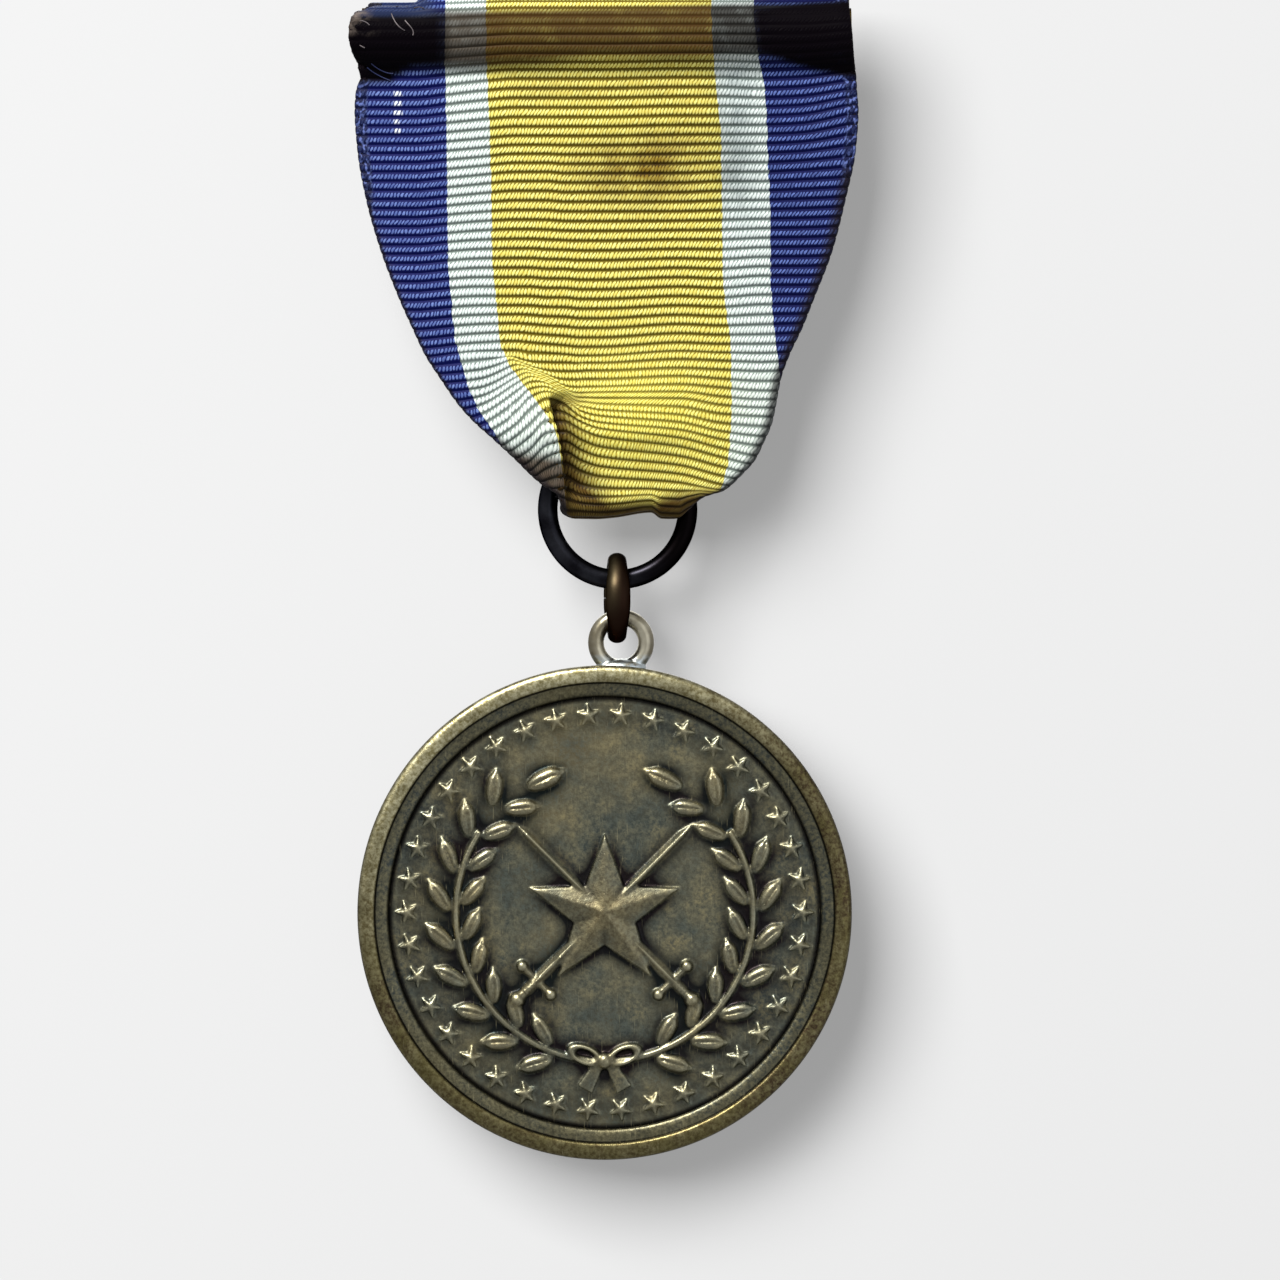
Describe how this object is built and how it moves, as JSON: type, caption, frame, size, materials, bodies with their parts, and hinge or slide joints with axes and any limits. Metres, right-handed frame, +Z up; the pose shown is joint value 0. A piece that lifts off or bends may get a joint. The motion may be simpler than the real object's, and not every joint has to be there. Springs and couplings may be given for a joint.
{
  "type": "hanging service medal with folded ribbon and pin brooch",
  "caption": "Round bronze medal with raised star, swords and wreath, hung by a ring and link from a folded striped ribbon on a pin brooch.",
  "frame": {"origin": "middle of the pin's needle, where the medal is pinned on, behind the brooch bar", "axes": "+Z up the hanging medal, front facing -Y, +X to the viewer's right, +Y towards the garment"},
  "size_m": [0.0354, 0.0073, 0.0812],
  "materials": {
    "pin_brass": "satin, lightly tarnished",
    "ribbed_ribbon": "ribbed silk weave in navy, white and yellow stripes",
    "dark_bronze": "near-black patina, satin",
    "link_bronze": "worn brown patina, satin",
    "patinated_bronze": "struck bronze, dark in the recesses and rubbed brown on the raised parts"
  },
  "bodies": {
    "hanger": {"brooch": "pin_brass", "ribbon": "ribbed_ribbon"},
    "ring": {"ring": "dark_bronze"},
    "link": {"link": "link_bronze"},
    "pendant": {"medal": "patinated_bronze"}
  },
  "joints": [
    {"name": "ring_turn", "type": "hinge", "parent": "hanger", "child": "ring", "pos_m": [0.00076, -0.0025, -0.03296], "axis": [0, 1, 0], "range_deg": [-30, 30]},
    {"name": "link_swing", "type": "hinge", "parent": "ring", "child": "link", "pos_m": [0.00076, -0.0025, -0.03783], "axis": [1, 0, 0], "range_deg": [-80, 80]},
    {"name": "medal_sway", "type": "hinge", "parent": "link", "child": "pendant", "pos_m": [0.00072, -0.0025, -0.04174], "axis": [0, 1, 0], "range_deg": [-45, 45]}
  ]
}
